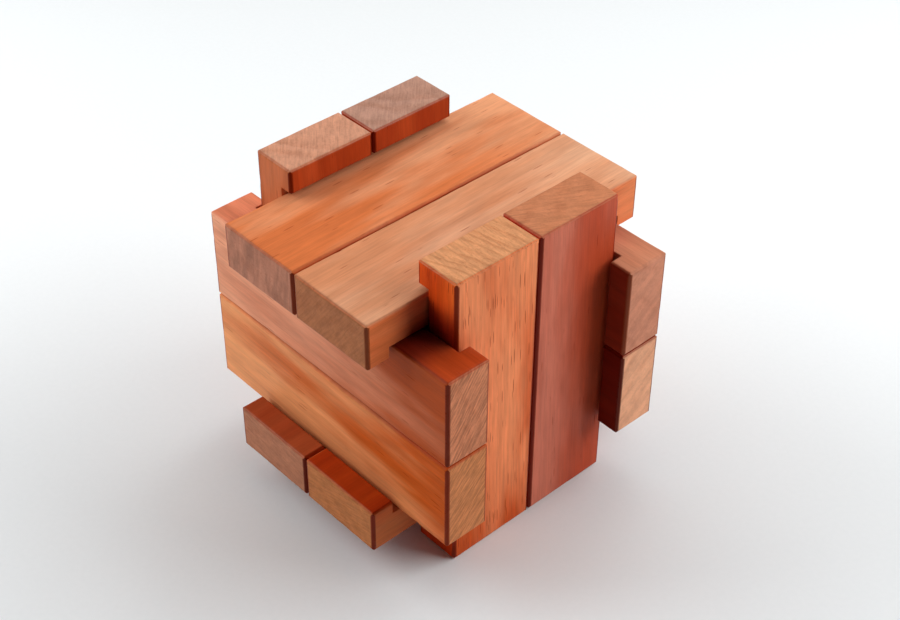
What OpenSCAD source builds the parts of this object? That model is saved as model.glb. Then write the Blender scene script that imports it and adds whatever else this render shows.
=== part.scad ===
// Interlocking burr puzzle of twelve flat hardwood sticks, four along each axis.
// The sticks lie side by side in pairs on the six sides of a hollow cube, and the ends
// of every pair stand out past the pairs that cross them. Each stick has two shallow
// notches across its inner face, and each notch holds the edges of the sticks that
// cross it. Eleven sticks are alike. The twelfth, the key, has most of its inner face
// cut away, so it draws out lengthwise and frees the others.
//
// Frame: millimetres, +Z up, origin on the floor under the middle of the puzzle.
// +X is the right and -Y is the front. The key draws out towards the front.

/* [Sticks] */
// Width of a stick's lane, which is half the width of a pair
lane_width = 20; // [14:0.5:28]
// Thickness of a stick
stick_thickness = 10; // [8:0.1:13]
// How far each end stands out past the pair that crosses it
overhang = 6.1; // [4:0.1:12]
// Width of the chamfer along every outer edge, measured on either face
edge_chamfer = 0.45; // [0.2:0.05:1]
// Gap between the two sticks of a pair
seam_gap = 0.2; // [0.1:0.05:0.4]

/* [Notches] */
// How far a lane reaches into the notches of the sticks that cross it
engagement = 2.6; // [1.8:0.1:3]
// Gap between a notch's floor and the edges in it
floor_gap = 0.35; // [0.2:0.05:0.6]
// Gap along the stick, on the side of each notch nearer the stick's middle
inner_gap = 0.35; // [0.25:0.05:0.5]
// Gap along the stick, on the side of each notch nearer the stick's end
outer_gap = 1.1; // [0.4:0.05:1.5]

/* [Colours] */
// The key, on the left of the top
key_colour = "#D97F52"; // [#D97F52, #C96A3C, #E0A070]
// The stick beside the key
top_colour = "#DFA27C"; // [#DFA27C, #D97F52, #C98B60]
// The pair across the front
front_colour = "#C98055"; // [#C98055, #D98C5C, #B86A45]
// The pair of uprights on the right
right_colour = "#C96F50"; // [#C96F50, #A8524A, #D9825C]
// The pairs across the back, on the left and underneath
far_colour = "#B5694A"; // [#B5694A, #A05A40, #C98055]

/* [Hidden] */

// Distance from the puzzle's middle to the inner and the outer face of a pair
inner_face = lane_width - engagement;
outer_face = inner_face + stick_thickness;
// A stick's own size: its length is also the puzzle's width, depth and height
stick_width = lane_width - seam_gap;
stick_length = 2 * (outer_face + overhang);
// A notch's depth, its two walls and its length along the stick
notch_depth = engagement - seam_gap / 2 + floor_gap;
notch_inner_wall = inner_face - inner_gap;
notch_outer_wall = outer_face + outer_gap;
notch_length = notch_outer_wall - notch_inner_wall;
// A cut runs this far past the faces that it opens
overrun = 1;

// Turns that take a stick lying along Y to each of the three axes
ALONG_Y = [0, 0, 0];
ALONG_X = [0, -90, -90];
ALONG_Z = [90, 0, 90];
// The side that a pair lies on, and the stick within its pair, each by the sign of its
// place along the axis that it lies off: right, back and upper are PLUS
PLUS = 1;
MINUS = -1;

// A rectangle about the origin with its corners cut off
module chamfered_rectangle(across, up) {
    x = across / 2;
    y = up / 2;
    c = edge_chamfer;
    polygon([
        [c - x, -y], [x - c, -y], [x, c - y], [x, y - c],
        [x - c, y], [c - x, y], [-x, y - c], [-x, c - y]
    ]);
}

// A bar lying along Y on the plane Z = 0, with all its edges chamfered
module bar(thickness) {
    translate([0, 0, thickness / 2])
        intersection() {
            linear_extrude(thickness, center = true)
                chamfered_rectangle(stick_width, stick_length);
            rotate([90, 0, 0])
                linear_extrude(stick_length, center = true)
                    chamfered_rectangle(stick_width, thickness);
            rotate([90, 0, 90])
                linear_extrude(stick_width, center = true)
                    chamfered_rectangle(stick_length, thickness);
        }
}

// One of the eleven alike, with its inner face on Z = 0
module notched_stick() {
    difference() {
        bar(stick_thickness);
        for (end = [MINUS, PLUS])
            translate([0, end * (notch_inner_wall + notch_outer_wall) / 2, 0])
                cube([2 * lane_width, notch_length, 2 * notch_depth], center = true);
    }
}

// The key, which keeps its full thickness only in the head at its front end
module cut_away_key() {
    head_length = stick_length / 2 - notch_outer_wall;
    union() {
        intersection() {
            bar(stick_thickness);
            translate([-lane_width, -stick_length / 2 - overrun, -overrun])
                cube([2 * lane_width, head_length + overrun, stick_thickness + 2 * overrun]);
        }
        translate([0, 0, notch_depth])
            bar(stick_thickness - notch_depth);
    }
}

// Puts a stick on its side of the puzzle, inner face inwards, in its lane
module place(turn, side, lane) {
    translate([0, 0, stick_length / 2])
        rotate(turn)
            translate([lane * lane_width / 2, 0, 0])
                rotate([0, side == PLUS ? 0 : 180, 0])
                    translate([0, 0, inner_face])
                        children();
}

module key_stick() {
    color(key_colour) place(ALONG_Y, PLUS, MINUS) cut_away_key();
}

module top_right_stick() {
    color(top_colour) place(ALONG_Y, PLUS, PLUS) notched_stick();
}

module bottom_left_stick() {
    color(far_colour) place(ALONG_Y, MINUS, MINUS) notched_stick();
}

module bottom_right_stick() {
    color(far_colour) place(ALONG_Y, MINUS, PLUS) notched_stick();
}

module front_upper_stick() {
    color(front_colour) place(ALONG_X, MINUS, PLUS) notched_stick();
}

module front_lower_stick() {
    color(front_colour) place(ALONG_X, MINUS, MINUS) notched_stick();
}

module back_upper_stick() {
    color(far_colour) place(ALONG_X, PLUS, PLUS) notched_stick();
}

module back_lower_stick() {
    color(far_colour) place(ALONG_X, PLUS, MINUS) notched_stick();
}

module right_front_upright() {
    color(right_colour) place(ALONG_Z, PLUS, MINUS) notched_stick();
}

module right_back_upright() {
    color(right_colour) place(ALONG_Z, PLUS, PLUS) notched_stick();
}

module left_front_upright() {
    color(far_colour) place(ALONG_Z, MINUS, MINUS) notched_stick();
}

module left_back_upright() {
    color(far_colour) place(ALONG_Z, MINUS, PLUS) notched_stick();
}

key_stick();
top_right_stick();
bottom_left_stick();
bottom_right_stick();
front_upper_stick();
front_lower_stick();
back_upper_stick();
back_lower_stick();
right_front_upright();
right_back_upright();
left_front_upright();
left_back_upright();
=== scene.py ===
"""The looks of a twelve-stick wooden burr puzzle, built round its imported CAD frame.

Every stick is a mesh of its own that stands for its CAD node: a hand-sanded hardwood bar
with soft, uneven chamfers, crisp sawn notches and a few dents, cut from its own piece of
procedural wood, so that rings, fibres and pores run through its long and its end grain.
All lengths are in metres, except in the wood's own pattern, which is in millimetres.
"""
import math

import bmesh
import bpy
import numpy as np
from mathutils import Matrix, Vector, noise


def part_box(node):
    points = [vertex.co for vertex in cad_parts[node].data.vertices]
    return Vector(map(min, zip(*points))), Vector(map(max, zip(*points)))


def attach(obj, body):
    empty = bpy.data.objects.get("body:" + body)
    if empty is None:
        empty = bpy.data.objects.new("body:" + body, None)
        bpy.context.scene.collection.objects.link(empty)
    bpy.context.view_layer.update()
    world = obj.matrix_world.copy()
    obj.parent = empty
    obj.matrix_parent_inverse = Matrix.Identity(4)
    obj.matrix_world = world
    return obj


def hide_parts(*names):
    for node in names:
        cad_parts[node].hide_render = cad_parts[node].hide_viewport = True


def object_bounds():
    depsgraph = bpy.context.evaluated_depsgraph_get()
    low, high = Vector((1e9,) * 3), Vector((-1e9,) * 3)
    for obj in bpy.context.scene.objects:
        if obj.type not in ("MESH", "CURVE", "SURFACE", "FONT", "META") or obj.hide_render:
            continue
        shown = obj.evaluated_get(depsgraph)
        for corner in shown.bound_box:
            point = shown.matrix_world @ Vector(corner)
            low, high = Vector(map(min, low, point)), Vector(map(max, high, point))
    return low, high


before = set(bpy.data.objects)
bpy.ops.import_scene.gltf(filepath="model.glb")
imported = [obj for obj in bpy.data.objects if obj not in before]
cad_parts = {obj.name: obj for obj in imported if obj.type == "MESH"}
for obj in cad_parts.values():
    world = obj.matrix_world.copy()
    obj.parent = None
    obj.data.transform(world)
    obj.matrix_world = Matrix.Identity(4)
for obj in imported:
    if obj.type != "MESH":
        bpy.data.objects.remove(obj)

CAD_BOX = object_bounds()
LOW, HIGH = (np.array(corner) for corner in CAD_BOX)
MIDDLE = (LOW + HIGH) / 2
SPAN = float(max(HIGH - LOW))
MM = 0.001
KEY = "key_stick"

# ---------------------------------------------------------------- the sticks' shape
# The chamfer along every outer edge, how round it runs into the faces, and how unevenly
# it was sanded: two waves, each a share of the chamfer, a length and a shift of the seed
CHAMFER = 0.45 * MM
CHAMFER_SOFTNESS = 0.10 * MM
CHAMFER_WAVES = ((0.16, 9 * MM, 0), (0.10, 2.4 * MM, 40))
# How deep sanding left the faces wavy, and over what length
FACE_WAVE = 0.035 * MM
FACE_WAVE_LENGTH = 14 * MM
# The gaps round the sticks that lie in a notch, and the easing of a notch's sawn edges
NOTCH_INNER_GAP = 0.35 * MM
NOTCH_OUTER_GAP = 1.1 * MM
NOTCH_FLOOR_GAP = 0.35 * MM
NOTCH_EASING = 0.16 * MM
# Knocks on each stick: how many on its long edges, and the ranges of their radius and
# depth in millimetres
KNOCKS = 5
EDGE_KNOCK = ((0.7, 1.8), (0.05, 0.16))
END_KNOCK = ((0.8, 1.6), (0.05, 0.14))
# The mesh's grid, and its lines close to an edge, counted in chamfers
GRID_ALONG = 1.0 * MM
GRID_ACROSS = 1.1 * MM
EDGE_LINES = (0, 0.45, 0.85, 1.15, 1.8)
# Sawn corners that turn outwards by more than the first angle are eased with a bevel, and
# edges that turn by more than the second stay sharp when shaded
EASED_ANGLE = math.radians(62)
SHARP_ANGLE = math.radians(50)
# How much of an upright edge's darkening, wear and painted shade, a level edge shows, and how
# far from where sticks cross the painted shade in those corners fades out
LEVEL_EDGES = 0.25
CROSSING_SHADE_FADE = 7.0 * MM


class Stick:
    """Where a stick lies: its length, width and thickness axes, its middle and its size."""

    def __init__(self, node):
        low, high = (np.array(corner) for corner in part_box(node))
        size = high - low
        self.node = node
        self.along = int(np.argmax(size))
        self.thin = int(np.argmin(size))
        self.wide = 3 - self.along - self.thin
        self.middle = (low + high) / 2
        self.length = float(size[self.along])
        self.width = float(size[self.wide])
        self.thickness = float(size[self.thin])
        self.side = 1.0 if self.middle[self.thin] > MIDDLE[self.thin] else -1.0

    def to_frame(self):
        """The matrix that takes (across, along, outwards from the inner face) to the frame."""
        along = Vector(np.eye(3)[self.along])
        outwards = Vector(np.eye(3)[self.thin]) * self.side
        across = along.cross(outwards)
        inner_face = Vector(self.middle) - outwards * (self.thickness / 2)
        turn = Matrix((across, along, outwards)).transposed().to_4x4()
        return Matrix.Translation(inner_face) @ turn


STICKS = {node: Stick(node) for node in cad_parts}


def pair_faces():
    """How far a pair's inner and outer faces and its outer edges lie from the puzzle's middle."""
    stick = STICKS[KEY]
    inner = abs(stick.middle[stick.thin] - MIDDLE[stick.thin]) - stick.thickness / 2
    edge = abs(stick.middle[stick.wide] - MIDDLE[stick.wide]) + stick.width / 2
    return inner, inner + stick.thickness, edge


INNER_FACE, OUTER_FACE, OUTER_EDGE = pair_faces()
NOTCH_START = INNER_FACE - NOTCH_INNER_GAP
NOTCH_END = OUTER_FACE + NOTCH_OUTER_GAP
NOTCH_DEPTH = OUTER_EDGE - INNER_FACE + NOTCH_FLOOR_GAP


def grid_lines(low, high, step, fixed=()):
    """Grid lines from low to high: close together at both ends, for the chamfers, and
    near every fixed line, for its easing, and about a step apart in between."""
    lines = [low + CHAMFER * s for s in EDGE_LINES] + [high - CHAMFER * s for s in EDGE_LINES]
    for line in fixed:
        lines += [line - 2.5 * NOTCH_EASING, line, line + 2.5 * NOTCH_EASING]
    lines = sorted(line for line in set(lines) if low - 1e-9 <= line <= high + 1e-9)
    filled = []
    for a, b in zip(lines, lines[1:]):
        count = max(1, round((b - a) / step))
        filled += [a + (b - a) * k / count for k in range(count)]
    return np.array(filled + [lines[-1]])


def smooth_noise(place, size, seed):
    """Smooth noise from -1 to 1 with features of about that size."""
    return noise.noise(Vector(place) / size + Vector((seed * 7.31, seed * 3.17, seed * 5.03)))


def smooth_excess(excess):
    """max(0, excess) with a rounded corner, so that a chamfer runs softly into its faces."""
    r = CHAMFER_SOFTNESS
    if excess <= -r:
        return 0.0
    if excess >= r:
        return excess
    return (excess + r) ** 2 / (4 * r)


def sanded(place, stick, floor, seed):
    """A point of the squared bar's surface, moved to where hand sanding left it."""
    across, along, up = place
    gaps = [
        stick.width / 2 - abs(across),
        stick.length / 2 - abs(along),
        min(up - floor, stick.thickness - up),
    ]
    touching = [k for k in range(3) if gaps[k] < 1e-7]
    if not touching:
        return place
    chamfer = CHAMFER
    for share, size, shift in CHAMFER_WAVES:
        chamfer *= 1 + share * smooth_noise(place, size, seed + shift)
    cuts = [smooth_excess(chamfer - gap) / 2 for gap in gaps]
    wave = FACE_WAVE * (1 + smooth_noise(place, FACE_WAVE_LENGTH, seed + 80)) / 2
    signs = [math.copysign(1, across), math.copysign(1, along), 1 if up > stick.thickness / 2 else -1]
    moved = list(place)
    for k in range(3):
        if k in touching:
            inset = max(cut for j, cut in enumerate(cuts) if j != k) + wave
        else:
            inset = cuts[k]
        moved[k] -= signs[k] * inset
    return tuple(moved)


def dents(stick, seed):
    """Small knocks along the long outer edges and on the ends: their places, radii and depths."""
    rng = np.random.default_rng(seed)
    made = []
    for _ in range(KNOCKS):
        across = rng.choice([-1, 1]) * stick.width / 2
        along = rng.uniform(-0.5, 0.5) * stick.length
        radius, depth = (rng.uniform(*ends) * MM for ends in EDGE_KNOCK)
        made.append(((across, along, stick.thickness), radius, depth))
    for _ in range(KNOCKS // 2):
        along = rng.choice([-1, 1]) * stick.length / 2
        across = rng.uniform(-0.5, 0.5) * stick.width
        radius, depth = (rng.uniform(*ends) * MM for ends in END_KNOCK)
        made.append(((across, along, stick.thickness), radius, depth))
    return made


def dented(point, stick, knocks):
    """A point moved inwards where a knock reaches it."""
    for centre, radius, depth in knocks:
        reach = (point - Vector(centre)).length / radius
        if reach < 1:
            inwards = Vector((-centre[0], 0, -stick.thickness / 2)).normalized()
            point = point + inwards * depth * (1 - reach * reach) ** 2
    return point


def notched_cells(stick):
    """The bar's grid lines across, along and outwards, and which cells between them are wood."""
    is_key = stick.node == KEY
    walls = [-NOTCH_END] if is_key else [-NOTCH_END, -NOTCH_START, NOTCH_START, NOTCH_END]
    lines = [
        grid_lines(-stick.width / 2, stick.width / 2, GRID_ACROSS),
        grid_lines(-stick.length / 2, stick.length / 2, GRID_ALONG, walls),
        grid_lines(0, stick.thickness, GRID_ACROSS, [NOTCH_DEPTH]),
    ]
    centres = [(line[1:] + line[:-1]) / 2 for line in lines]
    _, along, up = np.meshgrid(*centres, indexing="ij")
    if is_key:
        cut = along > -NOTCH_END
    else:
        cut = (np.abs(along) > NOTCH_START) & (np.abs(along) < NOTCH_END)
    return lines, ~(cut & (up < NOTCH_DEPTH))


def outer_squares(solid):
    """The four grid corners of every square where wood meets air, in order round the outside."""
    padded = np.pad(solid, 1)
    for axis in range(3):
        after, last = [k for k in range(3) if k != axis]
        for step in (0, 1):
            shift = [1, 1, 1]
            shift[axis] += 1 if step else -1
            beyond = padded[tuple(slice(s, s + n) for s, n in zip(shift, solid.shape))]
            for cell in np.argwhere(solid & ~beyond):
                base = [int(c) for c in cell]
                base[axis] += step
                ring = []
                for da, db in ((0, 0), (1, 0), (1, 1), (0, 1)):
                    index = list(base)
                    index[after] += da
                    index[last] += db
                    ring.append(tuple(index))
                if (axis == 1) == bool(step):
                    ring.reverse()
                yield ring


def stick_mesh(stick, seed):
    """The sanded, notched bar as a closed mesh of quads, made on a grid of lines."""
    lines, solid = notched_cells(stick)
    knocks = dents(stick, seed)
    place_in_frame = stick.to_frame()
    mesh = bmesh.new()
    corners = {}

    def corner(index):
        if index not in corners:
            place = tuple(float(lines[k][index[k]]) for k in range(3))
            behind_head = stick.node == KEY and place[1] > -NOTCH_END + 1e-7
            floor = NOTCH_DEPTH if behind_head else 0.0
            point = dented(Vector(sanded(place, stick, floor, seed)), stick, knocks)
            corners[index] = mesh.verts.new(place_in_frame @ point)
        return corners[index]

    for ring in outer_squares(solid):
        mesh.faces.new([corner(index) for index in ring])
    mesh.normal_update()
    inner = [e for e in mesh.edges if len(e.link_faces) == 2]
    sawn = [e for e in inner if e.calc_face_angle_signed(0) > EASED_ANGLE]
    bmesh.ops.bevel(mesh, geom=sawn, offset=NOTCH_EASING, segments=2, profile=0.5, affect="EDGES")
    bmesh.ops.remove_doubles(mesh, verts=mesh.verts, dist=1e-7)
    for face in mesh.faces:
        face.smooth = True
    for edge in mesh.edges:
        if len(edge.link_faces) == 2 and edge.calc_face_angle(0) > SHARP_ANGLE:
            edge.smooth = False
    data = bpy.data.meshes.new(stick.node + "_wood")
    mesh.to_mesh(data)
    mesh.free()
    mark_surface(data, stick)
    return data


def clamped(value):
    return min(1.0, max(0.0, value))


def mark_surface(data, stick):
    """Stores three values at each point for the wood to read. "edge" is how near it is to an
    outer edge, for the edges' darkening: wear, and painted shade that makes upright edges far
    darker than level ones. "outwards" is 1 on the outer wide face, 0.5 on the narrow sides and
    0 on the inner wide face: the outer face keeps a paler colour, a painted sheen, and the sides
    and inner face take tints set for how lit or shaded each is, painted light and shade.
    "crossing" rises to 1 where other sticks cross this one: painted shade in the corners there."""
    to_stick = stick.to_frame().inverted()
    edges, outwards, crossing_shades = [], [], []
    for vertex in data.vertices:
        across, along, up = to_stick @ vertex.co
        gaps = {
            stick.wide: stick.width / 2 - abs(across),
            stick.along: stick.length / 2 - abs(along),
            stick.thin: min(up, stick.thickness - up),
        }
        first, second = sorted(gaps, key=gaps.get)[:2]
        nearness = 1 - (gaps[first] + gaps[second] - CHAMFER) / (0.9 * CHAMFER)
        upright = 2 not in (first, second)
        # Upright edges take the whole darkening, wear and painted shade, and level edges only a share
        # of it
        edges.append(clamped(nearness) * (1.0 if upright else LEVEL_EDGES))
        outer = clamped((up - stick.thickness) / CHAMFER + 1)
        inner = clamped(1 - up / CHAMFER)
        outwards.append(0.5 + (outer - inner) / 2)
        # Painted shade in the corners where other sticks cross, off the outer face
        crossing_shades.append((1 - outer) * clamped((NOTCH_END + 1 * MM - abs(along)) / CROSSING_SHADE_FADE))
    for name, values in (("edge", edges), ("outwards", outwards), ("crossing_shade", crossing_shades)):
        data.attributes.new(name, "FLOAT", "POINT").data.foreach_set("value", values)


# ---------------------------------------------------------------- the wood
# Painted shade where sticks cross multiplies the colour under it, and pores and the edges darkened by
# wear and painted shade multiply the deep tone
PAINTED_SHADE_TONE = (0.42, 0.20, 0.45)
PORE_TONE = (0.46, 0.24, 0.22)
EDGE_WEAR_AND_SHADE_TONE = (0.42, 0.20, 0.10)


class Nodes:
    """A short way to write a material's node tree."""

    def __init__(self, material):
        self.tree = material.node_tree
        self.tree.nodes.clear()

    def make(self, kind, values=(), **settings):
        """A node of that kind. A value that is a socket is linked, and any other is set."""
        made = self.tree.nodes.new(kind)
        for name, value in settings.items():
            setattr(made, name, value)
        for key, value in dict(values).items():
            if isinstance(value, bpy.types.NodeSocket):
                self.tree.links.new(value, made.inputs[key])
            else:
                made.inputs[key].default_value = value
        return made

    def math(self, operation, a, b=0.0, c=0.0):
        return self.make("ShaderNodeMath", {0: a, 1: b, 2: c}, operation=operation).outputs[0]

    def ramp(self, value, low, high, to_low=0.0, to_high=1.0):
        """The value, smoothly stepped from the range low to high into the range that follows."""
        values = {0: value, 1: low, 2: high, 3: to_low, 4: to_high}
        return self.make("ShaderNodeMapRange", values, interpolation_type="SMOOTHSTEP").outputs[0]

    def noise(self, vector, scale, detail=2.0, roughness=0.5):
        values = {"Vector": vector, "Scale": scale, "Detail": detail, "Roughness": roughness}
        return self.make("ShaderNodeTexNoise", values).outputs["Fac"]

    def noise_along(self, value, scale, detail):
        """Noise that varies with one value alone."""
        values = {"W": value, "Scale": scale, "Detail": detail}
        return self.make("ShaderNodeTexNoise", values, noise_dimensions="1D").outputs["Fac"]

    def mapping(self, vector, **values):
        return self.make("ShaderNodeMapping", {"Vector": vector, **values}).outputs[0]

    def stretched(self, vector, along, across):
        """The vector scaled by one factor along the grain and another across it."""
        return self.mapping(vector, Scale=(along, across, across))

    def coordinate(self, name):
        return self.make("ShaderNodeTexCoord").outputs[name]

    def separate(self, vector):
        return self.make("ShaderNodeSeparateXYZ", {0: vector}).outputs

    def attribute(self, name):
        return self.make("ShaderNodeAttribute", attribute_name=name).outputs["Fac"]

    def mix(self, amount, a, b, blend="MIX"):
        made = self.make("ShaderNodeMix", data_type="RGBA", blend_type=blend)
        for socket, value in ((0, amount), (6, a), (7, b)):
            if isinstance(value, bpy.types.NodeSocket):
                self.tree.links.new(value, made.inputs[socket])
            else:
                made.inputs[socket].default_value = value
        return made.outputs[2]


def rgba(colour, factors=(1, 1, 1)):
    """A colour for a socket, multiplied channel by channel by the factors."""
    return (*(c * f for c, f in zip(colour, factors)), 1.0)


def times(n, colour, factor):
    """A colour multiplied by a grey factor."""
    grey = n.make("ShaderNodeCombineXYZ", {"X": factor, "Y": factor, "Z": factor}).outputs[0]
    return n.mix(1.0, colour, grey, "MULTIPLY")


def grain_space(n, stick, look, seed):
    """Two vectors in millimetres, (along, wide, thin): one fixed to the log that the stick
    was sawn from, a little askew, and one shifted so that no two sticks share a pattern."""
    parts = n.separate(n.coordinate("Object"))
    axes = {"X": parts[stick.along], "Y": parts[stick.wide], "Z": parts[stick.thin]}
    straight = n.make("ShaderNodeCombineXYZ", axes).outputs[0]
    log = n.mapping(straight, Rotation=(0.0, *look["tilt"]), Scale=(1 / MM,) * 3)
    return log, n.mapping(log, Location=(31.0 * seed, 17.0 * seed, 23.0 * seed))


def late_wood(n, stick, look, log, grain):
    """0 in the pale early wood and up to 1 in the dark late wood of each growth ring."""
    across = -stick.middle[stick.wide] / MM + look["pith"][0]
    through = -stick.middle[stick.thin] / MM + look["pith"][1]
    radial = n.mapping(log, Location=(0.0, across, through), Scale=(0.0, 1.0, 1.0))
    radius = n.make("ShaderNodeVectorMath", {0: radial}, operation="LENGTH").outputs["Value"]
    wander = n.noise(n.stretched(grain, 0.012, 0.05), 1.0, 2.0)
    radius = n.math("MULTIPLY_ADD", wander, look["wander"], radius)
    ragged = n.noise(n.stretched(grain, 0.02, 0.4), 1.0, 4.0, 0.65)
    radius = n.math("MULTIPLY_ADD", ragged, look["ragged"] * look["ring"], radius)
    years = n.math("DIVIDE", radius, look["ring"])
    # Wet years make wide rings, and dry years make faint ones
    wet = n.noise_along(years, 0.45, 2.0)
    dry = n.noise_along(years, 0.8, 1.0)
    ring = n.math("FRACT", n.math("MULTIPLY_ADD", wet, 2.2, years))
    late = n.math("MULTIPLY", n.ramp(ring, 0.05, 0.75), n.ramp(ring, 1.0, 0.78))
    patchy = n.ramp(n.noise(n.stretched(grain, 0.02, 0.22), 1.0, 2.0), 0.3, 0.65, 0.3, 1.0)
    strength = n.math("MULTIPLY", patchy, n.ramp(dry, 0.35, 0.6, 0.25, 1.0))
    return n.math("MULTIPLY", late, strength)


def drift(n, stick, look, grain):
    """From 0 to 1, the slow change of tone: random patches in the wood, and a steady ramp along and
    across the stick.
    """
    parts = n.separate(n.coordinate("Object"))
    along = n.math("SUBTRACT", parts[stick.along], stick.middle[stick.along])
    across = n.math("SUBTRACT", parts[stick.wide], stick.middle[stick.wide])
    patches = n.ramp(n.noise(n.stretched(grain, 0.02, 0.09), 1.0, 3.0, 0.55), 0.32, 0.68, -0.5, 0.5)
    tone = n.math("MULTIPLY_ADD", patches, look["patches"], 0.5)
    tone = n.math("MULTIPLY_ADD", along, look["fade"] / stick.length, tone)
    tone = n.math("MULTIPLY_ADD", across, look["slant"] / stick.width, tone)
    return n.ramp(tone, 0.0, 1.0)


def open_pores(n, look, grain):
    """1 inside the wood's vessels, thin and a few millimetres long, and 0 outside."""
    stretched = n.stretched(grain, 0.13, 1.35 * look["pore_count"])
    cells = n.make("ShaderNodeTexVoronoi", {"Vector": stretched, "Scale": 1.0, "Randomness": 1.0})
    size = n.separate(cells.outputs["Color"])[0]
    reach = n.ramp(size, 0.25, 1.0, 0.02, look["pore_size"])
    return n.ramp(n.math("SUBTRACT", reach, cells.outputs["Distance"]), -0.02, 0.06)


def edge_wear_and_shade(n, grain):
    """1 along the stick's edges, unevenly, and 0 on its faces: where the edges are darkened, as wear
    and, on the upright ones, as painted shade.
    """
    edge = n.math("SUBTRACT", n.attribute("edge"), 0.15)
    uneven = n.math("MULTIPLY_ADD", n.noise(grain, 0.8, 3.0), 0.3, edge)
    return n.ramp(uneven, 0.1, 0.7)


def long_grain(n, stick, look, grain, late, grain_tone):
    """The colour of the faces that run along the grain."""
    colour = n.mix(drift(n, stick, look, grain), rgba(look["light"]), rgba(look["deep"]))
    rings = n.math("MULTIPLY", late, look["ring_strength"])
    colour = n.mix(rings, colour, rgba(look["deep"], look["late"]))
    # Painted light and shade: the narrow sides and inner face take their own tints, set for how lit
    # or shaded each is, and the outer face keeps a paler painted sheen
    outwards = n.attribute("outwards")
    lit_and_shaded_tint = n.mix(n.ramp(outwards, 0.5, 0.0), rgba(look["side"]), rgba(look["inner"]))
    colour = n.mix(n.ramp(outwards, 1.0, 0.5), colour, lit_and_shaded_tint, "MULTIPLY")
    # Painted shade in the corners where sticks cross
    painted_shade = n.math("MULTIPLY", n.ramp(n.attribute("crossing_shade"), 0.0, 1.0), look["painted_shade"])
    colour = n.mix(painted_shade, colour, rgba(PAINTED_SHADE_TONE), "MULTIPLY")
    return times(n, colour, grain_tone)


def end_grain(n, look, grain, late, fuzz, mottle):
    """The colour of the sawn ends: rings and the marks of sanding in one direction."""
    rings = n.math("MULTIPLY", late, look["end_rings"])
    colour = n.mix(rings, rgba(look["end"]), rgba(look["end"], look["late"]))
    turned = n.mapping(grain, Rotation=(look["sanding"], 0.0, 0.0))
    stroke = n.mapping(turned, Scale=(0.5, *look["strokes"]))
    marks = n.noise(stroke, 1.0, 3.0, 0.65)
    marks = n.ramp(marks, 0.3, 0.7, -look["scratched"], look["scratched"])
    grit = n.math("ADD", n.ramp(fuzz, 0.25, 0.75, 0.95, 1.09), mottle)
    return times(n, colour, n.math("ADD", grit, marks))


def wood(stick, look, seed):
    """One stick's wood, the same solid pattern in its long and its end grain."""
    material = bpy.data.materials.new(stick.node + "_wood")
    material.use_nodes = True
    n = Nodes(material)
    log, grain = grain_space(n, stick, look, seed)
    late = late_wood(n, stick, look, log, grain)
    fibre = n.noise(n.stretched(grain, 0.03, 1.5), 1.0, 4.0, 0.65)
    fine = n.noise(n.stretched(grain, 0.12, 5.0), 1.0, 2.0, 0.6)
    fuzz = n.noise(grain, 1.9, 4.0, 0.7)
    mottle = n.noise(n.stretched(grain, 0.10, 0.45), 1.0, 3.0, 0.6)
    mottle = n.ramp(mottle, 0.3, 0.7, -0.07, 0.07)
    streak = n.ramp(fibre, 0.3, 0.72, 1 - look["streak"], 1 + look["streak"])
    streak = n.math("ADD", streak, n.ramp(fine, 0.3, 0.7, -0.05, 0.05))

    facing = n.separate(n.coordinate("Normal"))[stick.along]
    end = n.ramp(n.math("ABSOLUTE", facing), 0.55, 0.9)
    colour = long_grain(n, stick, look, grain, late, n.math("ADD", streak, mottle))
    colour = n.mix(end, colour, end_grain(n, look, grain, late, fuzz, mottle))
    pore = open_pores(n, look, grain)
    fewer_on_ends = n.math("MULTIPLY_ADD", end, -0.6 * look["pores"], look["pores"])
    colour = n.mix(n.math("MULTIPLY", pore, fewer_on_ends), colour, rgba(look["deep"], PORE_TONE))
    # Edges darkened: wear, and on the upright edges painted shade as well
    edge = edge_wear_and_shade(n, grain)
    wear_and_shade = n.math("MULTIPLY", edge, look["edges"])
    colour = n.mix(wear_and_shade, colour, rgba(look["deep"], EDGE_WEAR_AND_SHADE_TONE))

    rough = n.ramp(fibre, 0.3, 0.7, look["rough"] - 0.04, look["rough"] + 0.05)
    for amount, change in ((pore, 0.25), (end, 0.06), (edge, -0.14)):
        rough = n.math("MULTIPLY_ADD", amount, change, rough)
    height = n.math("MULTIPLY_ADD", pore, -1.0, n.math("MULTIPLY", fine, 0.35))
    height = n.math("MULTIPLY_ADD", n.math("MULTIPLY", fuzz, end), 0.6, height)
    bump = {"Height": height, "Strength": 0.5, "Distance": 0.08 * MM}
    surface = {
        "Base Color": colour, "Roughness": rough, "IOR": 1.5, "Specular IOR Level": 0.08,
        "Normal": n.make("ShaderNodeBump", bump).outputs[0],
    }
    shader = n.make("ShaderNodeBsdfPrincipled", surface)
    n.make("ShaderNodeOutputMaterial", {"Surface": shader.outputs[0]})
    return material
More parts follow.
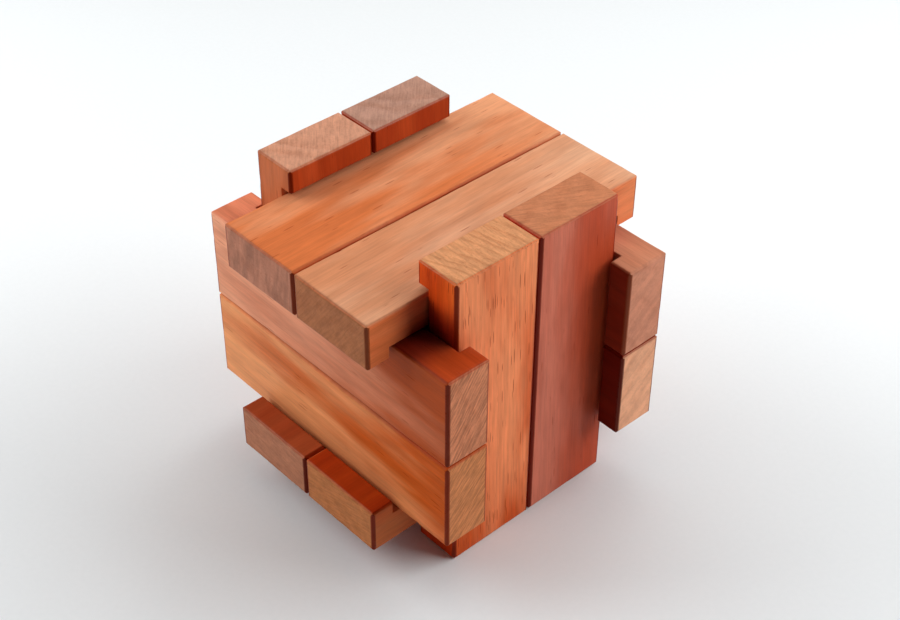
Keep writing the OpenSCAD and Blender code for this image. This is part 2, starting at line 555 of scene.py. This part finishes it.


# How a stick's wood looks unless its own entry says otherwise. Colours are linear: light
# and deep are the long grain's two tones, end is the end grain, late darkens them, and side
# and inner multiply them on the narrow sides and on the inner face, as painted light and
# shade set for how lit or shaded each face is.
COMMON = dict(
    late=(0.74, 0.62, 0.55), side=(0.92, 0.72, 0.60), inner=(0.88, 0.66, 0.54),
    pith=(20, 60), ring=4.0, ring_strength=0.28, ragged=0.4, wander=9.0, tilt=(0.02, 0.03),
    patches=0.9, fade=0.0, slant=0.0, painted_shade=0.3, streak=0.06, edges=0.9, rough=0.44,
    pores=0.3, pore_count=1.0, pore_size=0.2, end_rings=0.35,
    sanding=0.6, strokes=(0.22, 2.4), scratched=0.13,
)
LOOKS = {
    "key_stick": dict(
        light=(0.77, 0.34, 0.17), deep=(0.61, 0.155, 0.042), end=(0.44, 0.18, 0.11),
        pith=(20, 80), ring=6.0, fade=-1.0, pores=0.45,
        sanding=1.7, strokes=(0.1, 0.6), scratched=0.22),
    "top_right_stick": dict(
        light=(0.73, 0.39, 0.23), deep=(0.61, 0.24, 0.11), end=(0.41, 0.145, 0.057),
        side=(1.12, 0.62, 0.38), pith=(-30, 70), ring=5.0, fade=-0.7, painted_shade=0.4,
        pores=0.45, sanding=2.2),
    "front_upper_stick": dict(
        light=(0.93, 0.41, 0.24), deep=(0.49, 0.08, 0.013), end=(0.54, 0.195, 0.095),
        side=(0.85, 0.61, 0.53), pith=(8, 22), ring=3.5, ring_strength=0.32, wander=14.0,
        fade=0.9, patches=0.4, painted_shade=0.85, sanding=-0.6, scratched=0.30),
    "front_lower_stick": dict(
        light=(0.93, 0.375, 0.15), deep=(0.585, 0.092, 0.006), end=(0.55, 0.20, 0.075),
        pith=(-14, 28), ring=5.0, wander=12.0, fade=0.8, patches=0.7,
        sanding=-0.75, scratched=0.26),
    "right_front_upright": dict(
        light=(0.875, 0.275, 0.11), deep=(0.60, 0.085, 0.012), end=(0.63, 0.28, 0.125),
        side=(1.07, 0.56, 0.21), pith=(60, -15), ring=1.3, ring_strength=0.08, ragged=0.5,
        wander=3.0, fade=-0.9, slant=-0.4, painted_shade=0.9, streak=0.12,
        pores=0.7, pore_count=2.2, pore_size=0.28, end_rings=0.7, sanding=1.5),
    "right_back_upright": dict(
        light=(0.60, 0.165, 0.10), deep=(0.47, 0.063, 0.021), end=(0.50, 0.185, 0.085),
        side=(0.86, 0.42, 0.30), pith=(30, 60), ring=5.0, slant=0.9, patches=0.5, sanding=-0.5),
    "left_front_upright": dict(
        light=(0.56, 0.12, 0.027), deep=(0.46, 0.08, 0.014), end=(0.55, 0.26, 0.16),
        side=(1.2, 1.75, 3.0), inner=(0.92, 0.67, 0.70),
        pith=(-30, 30), ring=6.0, ring_strength=0.5, painted_shade=0.1, end_rings=0.55, sanding=0.9),
    "left_back_upright": dict(
        light=(0.50, 0.094, 0.024), deep=(0.42, 0.063, 0.015), end=(0.42, 0.225, 0.16),
        pith=(-40, 30), ring=6.5, end_rings=0.55, sanding=0.8),
    "back_upper_stick": dict(
        light=(0.645, 0.295, 0.175), deep=(0.57, 0.21, 0.11), end=(0.55, 0.22, 0.13),
        side=(1.0, 1.0, 1.0), inner=(0.37, 0.10, 0.07), pith=(25, 25), ring=3.5, end_rings=0.4,
        sanding=-0.9, strokes=(0.04, 0.35), scratched=0.13),
    "back_lower_stick": dict(
        light=(0.36, 0.066, 0.013), deep=(0.27, 0.026, 0.003), end=(0.73, 0.35, 0.20),
        inner=(0.50, 0.22, 0.38), pith=(-25, 30), ring=4.5, end_rings=0.4,
        sanding=-0.9, strokes=(0.04, 0.35), scratched=0.13),
    "bottom_left_stick": dict(
        light=(0.46, 0.093, 0.024), deep=(0.39, 0.06, 0.013), end=(0.465, 0.185, 0.10),
        inner=(0.87, 0.84, 0.95), pith=(-20, 40), sanding=0.2),
    "bottom_right_stick": dict(
        light=(0.59, 0.083, 0.02), deep=(0.51, 0.054, 0.011), end=(0.51, 0.18, 0.06),
        side=(1.15, 2.6, 3.6), inner=(0.80, 0.66, 0.24), pith=(30, 35), ring=3.5, sanding=-0.2),
}


def build_stick(node, seed):
    """One stick: its mesh, its wood, and the body and CAD node that it goes with."""
    stick = STICKS[node]
    name = node.replace("_stick", "").replace("_upright", "") + "_piece"
    piece = bpy.data.objects.new(name, stick_mesh(stick, seed))
    bpy.context.scene.collection.objects.link(piece)
    piece.data.materials.append(wood(stick, {**COMMON, **LOOKS[node]}, seed))
    weighted = piece.modifiers.new("flat_faces", "WEIGHTED_NORMAL")
    weighted.keep_sharp = True
    weighted.weight = 60
    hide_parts(node)
    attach(piece, node)


for order, node in enumerate(LOOKS, start=1):
    build_stick(node, order)


# ---------------------------------------------------------------- floor, light and camera
# The paper's two tones, a little apart so that its tooth shows
PAPER_DARK = (0.795, 0.822, 0.832)
PAPER_LIGHT = (0.805, 0.832, 0.842)


def direction(azimuth, elevation):
    """A unit vector from the puzzle outwards: azimuth 0 is the front, 90 the right."""
    a, e = math.radians(azimuth), math.radians(elevation)
    return Vector((math.sin(a) * math.cos(e), -math.cos(a) * math.cos(e), math.sin(e)))


def build_floor():
    """A seamless sheet of pale paper, far wider than the view."""
    half = 40 * SPAN
    mesh = bmesh.new()
    corners = ((-half, -half), (half, -half), (half, half), (-half, half))
    mesh.faces.new([mesh.verts.new((x, y, float(LOW[2]))) for x, y in corners])
    data = bpy.data.meshes.new("floor")
    mesh.to_mesh(data)
    mesh.free()
    floor = bpy.data.objects.new("floor", data)
    bpy.context.scene.collection.objects.link(floor)
    material = bpy.data.materials.new("paper")
    material.use_nodes = True
    n = Nodes(material)
    tooth = n.noise(n.coordinate("Object"), 900.0, 3.0)
    bump = {"Height": tooth, "Strength": 0.1, "Distance": 0.05 * MM}
    surface = {
        "Base Color": n.mix(n.ramp(tooth, 0.3, 0.7), rgba(PAPER_DARK), rgba(PAPER_LIGHT)),
        "Roughness": 0.9,
        "Normal": n.make("ShaderNodeBump", bump).outputs[0],
    }
    shader = n.make("ShaderNodeBsdfPrincipled", surface)
    n.make("ShaderNodeOutputMaterial", {"Surface": shader.outputs[0]})
    data.materials.append(material)


def softbox(name, azimuth, elevation, distance, size, power):
    """A square soft light that looks at the puzzle's middle. Its distance and size are
    counted in widths of the puzzle, and its power is in watts."""
    light = bpy.data.lights.new(name, "AREA")
    light.shape = "SQUARE"
    light.size = size * SPAN
    light.energy = power
    holder = bpy.data.objects.new(name, light)
    away = direction(azimuth, elevation)
    holder.location = Vector(MIDDLE) + away * distance * SPAN
    holder.rotation_euler = away.to_track_quat("Z", "Y").to_euler()
    bpy.context.scene.collection.objects.link(holder)


def build_light():
    """Low soft boxes on the left and right, high ones behind, and almost no fill."""
    softbox("left_box", -53, 28, 6.2, 5.0, 1.53)
    softbox("right_box", 138, 28, 6.2, 5.0, 1.55)
    softbox("back_box", 180, 50, 6.5, 4.5, 0.57)
    softbox("high_box", 240, 60, 6.5, 5.5, 0.69)
    world = bpy.data.worlds.new("studio")
    bpy.context.scene.world = world
    world.use_nodes = True
    fill = world.node_tree.nodes["Background"].inputs
    fill["Color"].default_value = (1.0, 1.0, 1.0, 1.0)
    fill["Strength"].default_value = 0.004


def build_camera():
    """The camera: a longish lens, above and to the right of the front, turned a little."""
    azimuth, elevation, roll = 47.28, 39.22, 0.4
    from_middle = Vector((0.1891, -0.1707, 0.2088))
    camera = bpy.data.cameras.new("camera")
    camera.sensor_width = 36.0
    camera.lens = 67.8
    camera.clip_start = 0.01
    holder = bpy.data.objects.new("camera", camera)
    away = direction(azimuth, elevation)
    holder.location = Vector(MIDDLE) + from_middle
    turn = away.to_track_quat("Z", "Y").to_matrix() @ Matrix.Rotation(math.radians(roll), 3, "Z")
    holder.rotation_euler = turn.to_euler()
    bpy.context.scene.collection.objects.link(holder)
    bpy.context.scene.camera = holder


build_floor()
build_light()
build_camera()
bpy.context.scene.view_settings.view_transform = "Standard"
